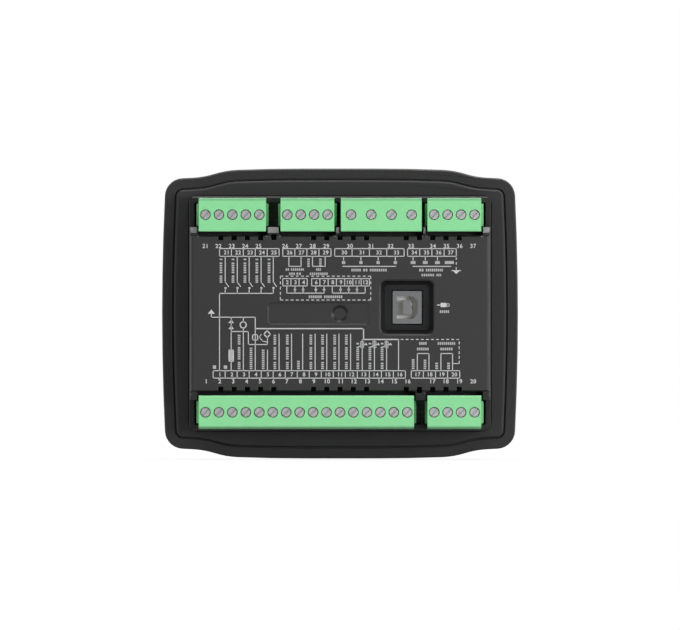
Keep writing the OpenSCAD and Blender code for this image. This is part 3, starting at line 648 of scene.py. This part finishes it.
def solid_box(x0, y0, x1, y1):
    """A filled box."""
    return [[(x0, y0), (x1, y0), (x1, y1), (x0, y1)]]


def dashes(x0, y0, x1, y1, dash=1.05, gap=0.85, w=LINE):
    """A dashed line."""
    length = math.hypot(x1 - x0, y1 - y0)
    count = max(1, round((length + gap) / (dash + gap)))
    step = (length - dash) / max(1, count - 1)
    ux, uy = (x1 - x0) / length, (y1 - y0) / length
    starts = [i * step for i in range(count)]
    return [stroke(x0 + s * ux + w / 2 * ux, y0 + s * uy + w / 2 * uy,
                   x0 + (s + dash) * ux - w / 2 * ux, y0 + (s + dash) * uy - w / 2 * uy, w)
            for s in starts]


print("line width:", LINE, "mm")


# %% Round and pointed shapes
def ring(x, y, r, w=LINE, turn=(0, 360), sides=28):
    """A circle or an arc."""
    angles = [math.radians(turn[0] + (turn[1] - turn[0]) * i / sides) for i in range(sides + 1)]

    def at(a, radius):
        return (x + radius * math.cos(a), y + radius * math.sin(a))

    return [[at(a, r - w / 2), at(b, r - w / 2), at(b, r + w / 2), at(a, r + w / 2)]
            for a, b in zip(angles, angles[1:])]


def disc(x, y, r, sides=24):
    """A filled circle."""
    return [[(x + r * math.cos(2 * math.pi * i / sides), y + r * math.sin(2 * math.pi * i / sides))
             for i in range(sides)]]


def triangle(x, y, width, height):
    """A filled triangle that points up, or down where the height is negative."""
    return [[(x - width / 2, y), (x + width / 2, y), (x, y + height)]]


print("a circle has", len(ring(0, 0, 1)), "short lines")


# %% Rows of small blocks
def block_places(start, end, groups, gap=0.7, cell=0.78, ink_share=0.7):
    """Where the blocks of a row start and end. groups holds the length of each group of them."""
    scale = (end - start) / (sum(groups) + gap * (len(groups) - 1))
    at, out = start, []
    for group in groups:
        count = max(1, round(group * scale / cell))
        step = group * scale / count
        out += [(at + i * step, at + (i + ink_share) * step) for i in range(count)]
        at += (group + gap) * scale
    return out


def bars(x, y0, y1, groups, w=1.0):
    """A row of blocks that runs up from y0."""
    return [box for a, b in block_places(y0, y1, groups) for box in solid_box(x - w / 2, a, x + w / 2, b)]


def level_bars(x0, x1, y, groups, h=1.0):
    """A row of blocks that runs across."""
    return [box for a, b in block_places(x0, x1, groups) for box in solid_box(a, y - h / 2, b, y + h / 2)]


print("a row of 10 mm has", len(level_bars(0, 10, 0, (4, 3))), "blocks")

# %% [markdown]
# ## Laying ink on a piece
#
# A drawing becomes one flat mesh at a given height. It rides on the body that carries it, so that
# the print on a key moves with the key.


# %% Print shapes on a body
def print_on(name, shapes, material, body, z):
    """Prints shapes as flat mesh at height z, riding on a body."""
    points, faces = [], []
    for shape in shapes:
        faces.append(list(range(len(points), len(points) + len(shape))))
        points += [stand(x, y, z) for x, y in shape]
    mesh = bpy.data.meshes.new(name)
    mesh.from_pydata(points, [], faces)
    mesh.materials.append(material)
    piece = bpy.data.objects.new(name, mesh)
    bpy.context.scene.collection.objects.link(piece)
    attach(piece, body)
    print("printed", name, "-", len(faces), "shapes")


print("ready to print")

# %% [markdown]
# ## Numerals
#
# The numbers beside the terminals are plain upright numerals 1.6 mm high. Blender's built-in
# font is close enough. Each number is made as text, turned into mesh, scaled to its height by
# its own outline, and added to one list, so that all of them become a single printed piece.


# %% Numbers as shapes
BOLD = 0.02  # how far each stroke of a numeral is grown, as a share of its size
SPACING = 1.12  # how far its two figures stand apart, as a share of the plain distance


def number_shapes(text, x, y, height):
    """A number as triangles and polygons, centred on (x, y), in mm."""
    curve = bpy.data.curves.new("numeral", "FONT")
    curve.body = text
    curve.offset = BOLD
    curve.space_character = SPACING
    written = bpy.data.objects.new("numeral", curve)
    bpy.context.scene.collection.objects.link(written)
    bpy.context.view_layer.update()
    mesh = written.to_mesh()
    corners = [(v.co.x, v.co.y) for v in mesh.vertices]
    polygons = [list(p.vertices) for p in mesh.polygons]
    written.to_mesh_clear()
    bpy.data.objects.remove(written)
    bpy.data.curves.remove(curve)
    xs, ys = [c[0] for c in corners], [c[1] for c in corners]
    scale = height / (max(ys) - min(ys))
    cx, cy = (max(xs) + min(xs)) / 2, (max(ys) + min(ys)) / 2
    return [[(x + (corners[i][0] - cx) * scale, y + (corners[i][1] - cy) * scale) for i in p]
            for p in polygons]


print("numerals are ready")

# %% Numbers beside the terminals
POLE_PITCH = 5.08
TOP_NUMBERS = dict(zip(range(21, 38), (
    -51.0, -45.9, -40.9, -35.8, -30.8, -20.7, -15.5, -10.3, -5.2, 3.8, 11.6, 19.1, 26.8,
    35.1, 40.2, 45.2, 50.3)))
BOTTOM_NUMBERS = {n: -50.5 + POLE_PITCH * (n - 1) for n in range(1, 17)}
BOTTOM_NUMBERS |= dict(zip(range(17, 21), (35.1, 40.1, 45.2, 50.3)))
TOP_Y, BOTTOM_Y = 25.5, -25.6
NUMERAL_H = 1.6

numerals = []
for row, y in ((TOP_NUMBERS, TOP_Y), (BOTTOM_NUMBERS, BOTTOM_Y)):
    for number, x in row.items():
        numerals += number_shapes(str(number), x, y, NUMERAL_H)
print("terminal numbers:", len(TOP_NUMBERS) + len(BOTTOM_NUMBERS))

# %% [markdown]
# ## Numbered boxes
#
# A second set of numbers stands in boxes, one box for each terminal, at the ends of the
# diagram's lines. A strip is an outline with dividers, and its numbers stand a little right of
# the middle of each box.

# %% Strips of boxes
BOXED_H = 1.5  # the height of a number in a box, in mm
BOXED_AT = 0.56  # where a number stands across its box, as a share of the box
boxes = []


def strip(x0, x1, y0, y1, first, count):
    """A strip of numbered boxes."""
    cell = (x1 - x0) / count
    boxes.extend(frame_box(x0, y0, x1, y1))
    for i in range(1, count):
        boxes.append(stroke(x0 + i * cell, y0, x0 + i * cell, y1))
    for i in range(count):
        numerals.extend(number_shapes(str(first + i), x0 + (i + BOXED_AT) * cell, (y0 + y1) / 2, BOXED_H))


TOP_STRIP = (21.6, 24.5)
LOW_STRIP = (-24.4, -21.6)
INNER_STRIP = (10.4, 13.2)
STRIPS = (
    (-45.5, -23.0, TOP_STRIP, 21, 5), (-21.6, -3.4, TOP_STRIP, 26, 4), (-2.0, 24.2, TOP_STRIP, 30, 4),
    (25.5, 43.9, TOP_STRIP, 34, 4), (-47.9, 24.7, LOW_STRIP, 1, 16), (26.9, 45.2, LOW_STRIP, 17, 4),
    (-21.6, -12.4, INNER_STRIP, 2, 3), (-10.7, 11.1, INNER_STRIP, 6, 7),
)
for x0, x1, (y0, y1), first, count in STRIPS:
    strip(x0, x1, y0, y1, first, count)
print("boxes:", len(boxes), "lines")

# %% [markdown]
# ## The wiring diagram
#
# The upper half shows five switch contacts on a common line, the measuring inputs in brackets,
# and a dashed frame round the inner links. The lower half shows the supply with its fuse, the
# outputs, three sensors and the two bus pairs. The groups are drawn in the order in which an
# electrician would read them, and all of them go into two lists: one of lines, one of blocks.

# %% Upper half of the diagram: the switch contacts
INPUT_X = (-43.35, -38.8, -34.3, -29.8, -25.2)
BUS_Y = 7.6
lines, blocks = [], []
for x in INPUT_X:
    lines += run((x, TOP_STRIP[0]), (x, 11.9), (x + 1.25, 10.2))
    lines += run((x, BUS_Y), (x, 9.4)) + disc(x + 0.1, 9.6, 0.42)
    blocks += bars(x - 1.6, 11.6, 20.9, (3.2, 4.6, 0.8), w=1.0)
lines += run((INPUT_X[0] - 2.15, LOW_STRIP[1]), (INPUT_X[0] - 2.15, BUS_Y), (INPUT_X[-1], BUS_Y))
print("switch contacts:", len(INPUT_X))

# %% Upper half of the diagram: the measuring inputs
BRACKET_Y = 17.8
for x0, x1 in ((-19.3, -14.7), (-10.4, -5.6)):
    lines += run((x0, TOP_STRIP[0]), (x0, BRACKET_Y), (x1, BRACKET_Y), (x1, TOP_STRIP[0]))
blocks += level_bars(-20.5, -13.4, 16.6, (2, 7), h=0.9) + level_bars(-19.2, -14.5, 15.0, (5, 4), h=0.9)
blocks += level_bars(-9.0, -7.0, 16.6, (3,), h=0.9) + level_bars(-11.4, -4.4, 15.0, (7,), h=0.9)
blocks += bars(-11.9, 17.6, 21.0, (4,), w=0.9) + bars(-7.4, 18.0, 21.0, (3,), w=0.9)

for x in (1.35, 7.9, 14.4, 20.9):
    lines += run((x, TOP_STRIP[0]), (x, 20.2))
    blocks += solid_box(x - 0.6, 18.7, x + 0.6, 19.8)
for x in (27.6, 32.2, 36.8):
    lines += run((x, TOP_STRIP[0]), (x, 20.2))
    blocks += solid_box(x - 0.9, 18.7, x + 0.9, 19.8)
blocks += solid_box(39.6, 18.7, 43.0, 19.8)
lines += run((1.1, BRACKET_Y), (21.0, BRACKET_Y)) + run((27.6, BRACKET_Y), (41.8, BRACKET_Y))
blocks += level_bars(4.3, 17.9, 16.4, (4, 2, 7), h=1.0)
blocks += level_bars(29.9, 39.1, 16.4, (2, 7), h=1.0) + level_bars(30.8, 38.4, 14.5, (5, 2), h=0.9)
lines += dashes(43.9, 21.2, 43.9, 16.6, dash=0.9, gap=0.6, w=0.3)
lines += run((42.3, 16.2), (45.5, 16.2)) + triangle(43.9, 16.0, 2.2, -1.1)
print("upper half:", len(lines), "lines")

# %% The inner links
FRAME_X, FRAME_Y = (-22.5, 11.6), (5.1, 14.1)
for y in FRAME_Y:
    lines += dashes(FRAME_X[0], y, FRAME_X[1], y)
for x in FRAME_X:
    lines += dashes(x, FRAME_Y[0], x, FRAME_Y[1])
LINK_Y = 7.7
links = [-20.07 + 3.07 * i for i in range(3)] + [-9.14 + 3.11 * i for i in range(7)]
for x in links:
    lines += run((x, INNER_STRIP[0]), (x, LINK_Y), w=0.3)
for x in links[1:5] + links[6:9]:
    lines += disc(x, 9.0, 0.5)
lines += run((links[0], LINK_Y), (links[4], LINK_Y)) + run((links[5], LINK_Y), (links[-1], LINK_Y))
blocks += level_bars(-11.8, 1.1, 6.3, (5, 7), h=1.0)
print("with the inner links:", len(lines), "lines")

# %% Lower half of the diagram: the supply
COLUMN_X = (-41.1, -36.5, -32.0, -27.4, -23.0, -18.3, -14.1, -9.4, -5.0, -0.4, 4.0, 8.4, 13.0,
            17.6, 22.1)
SUPPLY_Y = -1.4
lines += triangle(-48.6, -0.1, 2.6, 1.6) + run((-48.6, 0.0), (-48.6, SUPPLY_Y), (-32.0, SUPPLY_Y),
                                               (-32.0, LOW_STRIP[1]))
lines += run((-32.0, -5.7), (8.9, -5.7), (8.9, -9.8), (22.1, -9.8), w=0.42)
for y in (-3.6, -5.9):
    lines += triangle(-41.1, y, 2.0, 1.5)
lines += run((-41.1, SUPPLY_Y), (-41.1, -13.6)) + run((-41.1, -18.2), (-41.1, LOW_STRIP[1]))
blocks += solid_box(-41.95, -17.9, -40.25, -13.9)
lines += frame_box(-41.95, -18.1, -40.25, -13.7, w=0.3)
lines += run((-36.5, SUPPLY_Y), (-36.5, -3.1)) + ring(-36.55, -4.3, 1.15, w=0.4)
lines += run((-36.5, -5.5), (-36.5, LOW_STRIP[1]))
lines += frame_box(-33.0, -10.0, -31.1, -8.0, w=0.4)
lines += run((-28.8, -7.8), (-27.5, -6.5), (-26.2, -7.8), (-27.5, -9.1), (-28.8, -7.8), w=0.4)
lines += run((-27.5, -5.7), (-27.5, -6.5), w=0.3)
lines += run((-41.1, -6.8), (-34.6, -6.8), (-34.6, -11.7), (-27.4, -11.7), (-27.4, -9.1), w=0.32)
lines += run((-29.8, -7.9), (-30.4, -8.9), (-29.3, -10.4), (-27.6, -10.8), w=0.28)
blocks += solid_box(-43.9, -20.9, -42.6, -19.6) + solid_box(-48.0, -20.9, -46.8, -19.6)
print("with the supply:", len(lines), "lines")

# %% Lower half of the diagram: outputs, sensors and bus pairs
OUTPUTS = COLUMN_X[4:11]
for x in OUTPUTS:
    lines += run((x, -7.8), (x, LOW_STRIP[1]))
lines += run((COLUMN_X[3], -13.8), (COLUMN_X[3], LOW_STRIP[1]))
for x in [COLUMN_X[1]] + [v for v in OUTPUTS if v != COLUMN_X[6]]:
    blocks += bars(x - 1.6, -21.0, -7.8, (3, 5, 4), w=1.0)
for x, top in ((COLUMN_X[2], -12.7), (COLUMN_X[3], -13.4), (COLUMN_X[6], -17.6)):
    blocks += bars(x - 1.6, -21.0, top, (4,), w=1.0)
for x in COLUMN_X[11:14]:
    lines += run((x, -9.8), (x, LOW_STRIP[1]))
    lines += frame_box(x - 0.55, -12.9, x + 0.55, -10.5, w=0.26)
    lines += run((x - 1.5, -12.6), (x + 1.2, -11.5), w=0.28) + triangle(x + 1.45, -11.95, 1.1, 1.0)
    blocks += bars(x - 1.7, -21.0, -10.8, (3, 6, 1), w=1.0)
lines += run((COLUMN_X[14], -9.8), (COLUMN_X[14], LOW_STRIP[1]))
lines += dashes(22.9, -9.8, 45.0, -9.8) + dashes(45.0, -10.6, 45.0, -18.9)
lines += run((44.6, -18.9), (42.7, -18.9), w=0.3)
for x0, x1 in ((29.2, 33.6), (38.1, 42.5)):
    lines += run((x0, LOW_STRIP[1]), (x0, -15.1), (x1, -15.1), (x1, LOW_STRIP[1]))
blocks += level_bars(29.9, 32.9, -11.3, (3,), h=1.0) + level_bars(29.1, 33.7, -13.4, (5,), h=1.0)
blocks += level_bars(36.9, 43.7, -11.3, (8,), h=1.0) + level_bars(37.9, 42.7, -13.4, (6,), h=1.0)
for x, top in ((27.6, -17.0), (32.1, -17.2), (36.5, -18.3), (41.0, -18.3)):
    blocks += bars(x, -21.0, top, (4,), w=1.0)
print("whole diagram:", len(lines), "lines,", len(blocks), "blocks")

# %% [markdown]
# ## Printing the deck
#
# Three passes of ink: numbers, lines, and the paler blocks. The lines lie 20 micrometres above
# the deck, the numbers a little higher and the blocks a little lower, so that no two faces share
# a plane. The data socket is marked by the plain shape of a plug on its cord.

# %% Print the deck
INK_RISE = 0.02
mark_x, mark_y = 39.4, 3.2
socket_mark = run((mark_x - 2.6, mark_y), (mark_x - 1.4, mark_y), w=0.34)
socket_mark += solid_box(mark_x - 1.4, mark_y - 0.8, mark_x + 0.7, mark_y + 0.8)
socket_mark += frame_box(mark_x + 0.85, mark_y - 0.45, mark_x + 1.9, mark_y + 0.45, w=0.28)
blocks += level_bars(37.7, 41.4, 0.7, (3,))
print_on("deck_numbers", numerals, white_ink, "case", deck_z + 1.5 * INK_RISE)
print_on("deck_lines", boxes + lines + socket_mark, white_ink, "case", deck_z + INK_RISE)
print_on("deck_bars", blocks, pale_ink, "case", deck_z + 0.7 * INK_RISE)

# %% [markdown]
# ## The front
#
# The front can't be seen in the photograph, so it has only what such a front always has: a dark
# film with a black border printed round the window, plain symbols on the keys, and a thin ring
# round each key and each indicator. A red ring stops, a hand stands for running by hand, two
# arrows in a circle let it run by itself, a green bar starts, a crossed circle works the lamps,
# and two small arrows scroll the screen. There is no lettering.


# %% Places on the film
def mirrored(shapes):
    """Shapes drawn as the front is seen, turned for the bench, where the front is seen through."""
    return [[(-x, y) for x, y in reversed(shape)] for shape in shapes]


def across(node):
    """A node's bench x and y limits, in mm, as x0, y0, x1, y1."""
    low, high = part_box(node)
    return -high.x / MM, low.z / MM, -low.x / MM, high.z / MM


def inset(box, by):
    """A box made smaller on every side."""
    x0, y0, x1, y1 = box
    return x0 + by, y0 + by, x1 - by, y1 - by


def between(outer, inner):
    """The frame between two boxes, as four filled boxes."""
    x0, y0, x1, y1 = outer
    left, low, right, high = inner
    return (solid_box(x0, y0, x1, low) + solid_box(x0, high, x1, y1)
            + solid_box(x0, low, left, high) + solid_box(right, low, x1, high))


lens = across("display_lens")
print("the window is", round(lens[2] - lens[0], 1), "by", round(lens[3] - lens[1], 1), "mm")

# %% Print on the film
BORDER_FROM, BORDER_TO = 0.6, 3.0  # where the window's black border starts and ends, in mm
border = between(inset(lens, BORDER_FROM), inset(lens, BORDER_TO))
print_on("window_border", border, black_ink, "case", film_z - INK_RISE)

KEY_PLACES = {}
for node in ("key_stop", "key_manual", "key_auto", "key_start", "key_lamps", "key_scroll"):
    x0, y0, x1, y1 = across(node)
    KEY_PLACES[node] = ((x0 + x1) / 2, (y0 + y1) / 2)
key_x = [-place[0] for place in KEY_PLACES.values()]
key_y = KEY_PLACES["key_stop"][1]
pipe_y = (across("light_pipes")[1] + across("light_pipes")[3]) / 2
rings = []
for x in key_x[:4]:
    rings += ring(x, pipe_y, 2.3, w=0.25)
for x in key_x:
    rings += ring(x, key_y, 7.4, w=0.3, sides=48)
print_on("film_rings", mirrored(rings), grey_ink, "case", film_z - INK_RISE)

# %% Symbols on the keys
SYMBOLS = {
    "key_stop": (red_ink, ring(0, 0, 2.2, w=0.8, sides=36)),
    "key_manual": (grey_ink, solid_box(-1.5, -2.0, 1.5, 0.2) + solid_box(-1.5, 0.2, -0.9, 1.6)
                   + solid_box(-0.6, 0.2, 0.0, 2.2) + solid_box(0.3, 0.2, 0.9, 1.9)
                   + solid_box(1.7, -1.2, 2.2, 0.8)),
    "key_auto": (grey_ink, ring(0, 0, 1.9, w=0.45, turn=(20, 160)) + ring(0, 0, 1.9, w=0.45, turn=(200, 340))
                 + triangle(-1.9, 0.8, 1.3, -1.2) + triangle(1.9, -0.8, 1.3, 1.2)),
    "key_start": (green_ink, solid_box(-0.45, -2.3, 0.45, 2.3)),
    "key_lamps": (grey_ink, ring(0, 0, 2.0, w=0.4) + run((-1.3, -1.3), (1.3, 1.3), w=0.35)
                  + run((-1.3, 1.3), (1.3, -1.3), w=0.35)),
    "key_scroll": (grey_ink, triangle(0, 0.5, 2.4, 1.6) + triangle(0, -0.5, 2.4, -1.6)),
}
DISH = 0.15  # how far the symbols lie below the rims of the keys, in mm
for node, (material, shapes) in SYMBOLS.items():
    x, y = KEY_PLACES[node]
    placed = [[(x + px, y + py) for px, py in shape] for shape in mirrored(shapes)]
    body = "key_body_" + node.removeprefix("key_")
    print_on(node + "_symbol", placed, material, body, bench_depths(node)[0] + DISH)

# %% [markdown]
# ## Floor and background
#
# The photograph is a cut-out, so the stage is plain and pale: one floor just under the bezel's
# lowest point, and a white world. A lit floor is never quite as bright as a white page, so rays
# that come straight from the camera see it mostly as white light of strength 1, with a little of
# its real shading mixed in to keep the shadow. Rays that go by way of metal or glass see the
# same, so reflections match what stands behind. Away from the module the real shading fades out,
# so that the floor runs into the white of the world without an edge.


# %% The floor
def seen_directly(tree):
    """1 for rays from the camera, and for those by way of a mirror or glass."""
    path = add(tree, "ShaderNodeLightPath")
    seen = math_node(tree, "ADD", path.outputs["Is Camera Ray"], path.outputs["Is Glossy Ray"])
    return math_node(tree, "ADD", seen, path.outputs["Is Transmission Ray"], clamp=True)


def stage_floor():
    material, tree, output = new_material("floor")
    paper = add(tree, "ShaderNodeBsdfDiffuse", {"Color": (0.5, 0.5, 0.5, 1)})
    white = add(tree, "ShaderNodeEmission", {"Color": (1, 1, 1, 1), "Strength": 1.06})
    place = add(tree, "ShaderNodeNewGeometry").outputs["Position"]
    away = add(tree, "ShaderNodeVectorMath", {0: place}, operation="LENGTH").outputs["Value"]
    white_share = spread(tree, away, 0.15, 0.5, 0.8, 1.0)
    share = math_node(tree, "MULTIPLY", seen_directly(tree), white_share)
    mix = add(tree, "ShaderNodeMixShader", {
        "Fac": share, 1: paper.outputs["BSDF"], 2: white.outputs["Emission"],
    })
    tree.links.new(mix.outputs["Shader"], output.inputs["Surface"])
    return material


FLOOR_GAP_MM = 0.2
HALF_FLOOR = 2.0
floor_z = cad_box[0].z - FLOOR_GAP_MM * MM
corners = [(sx * HALF_FLOOR, sy * HALF_FLOOR, floor_z) for sx, sy in ((-1, -1), (1, -1), (1, 1), (-1, 1))]
floor_mesh = bpy.data.meshes.new("floor")
floor_mesh.from_pydata(corners, [], [[0, 1, 2, 3]])
floor_mesh.materials.append(stage_floor())
floor = bpy.data.objects.new("floor", floor_mesh)
bpy.context.scene.collection.objects.link(floor)
print("floor at z =", round(floor_z, 4))

# %% The world
WORLD_LIGHT = 0.3
world = bpy.data.worlds.new("studio")
world.use_nodes = True
bpy.context.scene.world = world
sky = world.node_tree
sky.nodes.clear()
level = spread(sky, seen_directly(sky), 0.0, 1.0, WORLD_LIGHT, 1.0)
backdrop = add(sky, "ShaderNodeBackground", {"Color": (1, 1, 1, 1), "Strength": level})
add(sky, "ShaderNodeOutputWorld", {"Surface": backdrop.outputs["Background"]})
print("the world lights the module with", WORLD_LIGHT)

# %% [markdown]
# ## Lamps
#
# The flat faces in the photograph are lit evenly, from top to bottom, while every slope that
# faces up shines, and those that face right a little. So the main lamp is large and stands on the
# viewer's side of the module, and a second lamp hangs over the module, where faces that look at
# the camera hardly see it but the slopes reflect it. Two weaker ones stand at the sides, the right
# one stronger, and one more lights the front for the other views. The main lamp stands to the
# viewer's right, since the right ends of the pits between the blocks are in shade. Large lamps
# are used because a small one would draw hard shadows of the terminal blocks.


# %% Lamps
def area_lamp(name, place, size, power):
    """A square lamp of that size in metres, aimed at the module."""
    light = bpy.data.lights.new(name, "AREA")
    light.size, light.energy = size, power
    lamp = bpy.data.objects.new(name, light)
    lamp.location = place
    lamp.rotation_euler = (-Vector(place)).to_track_quat("-Z", "Y").to_euler()
    bpy.context.scene.collection.objects.link(lamp)
    return lamp


area_lamp("key_lamp", (-0.6, 1.72, -0.05), 0.45, 15.5)
area_lamp("top_lamp", (-0.1, 0.03, 1.0), 0.5, 12.0)
area_lamp("right_lamp", (-1.1, 0.25, 0.25), 0.5, 7.0)
area_lamp("left_lamp", (1.1, 0.3, 0.2), 0.6, 3.0)
area_lamp("front_lamp", (0.4, -0.95, 0.7), 0.6, 8.0)

# %% [markdown]
# ## Camera
#
# The photograph is square on and almost without perspective, as a drawing for a catalogue is. A
# very long lens far away gives that. The width of the picture at the module is known from the
# pitch of the terminals, so the distance follows from the lens. The module's middle is a pixel
# and a half above the middle of the picture.

# %% Camera
PICTURE_W = 680
MM_PER_PIXEL = 0.3776
PIXELS_ABOVE_MIDDLE = 1.5
LENS, SENSOR = 1000.0, 36.0
view_w = PICTURE_W * MM_PER_PIXEL * MM
distance = view_w * LENS / SENSOR
camera_data = bpy.data.cameras.new("camera")
camera_data.lens, camera_data.sensor_width = LENS, SENSOR
camera_data.clip_start, camera_data.clip_end = 0.1, 30.0
camera = bpy.data.objects.new("camera", camera_data)
camera.location = (0.0, distance + deck_z * MM, -PIXELS_ABOVE_MIDDLE * MM_PER_PIXEL * MM)
camera.rotation_euler = (math.radians(90), 0, math.radians(180))
bpy.context.scene.collection.objects.link(camera)
bpy.context.scene.camera = camera
bpy.context.scene.view_settings.view_transform = "Standard"
print("camera at", round(distance, 2), "m")
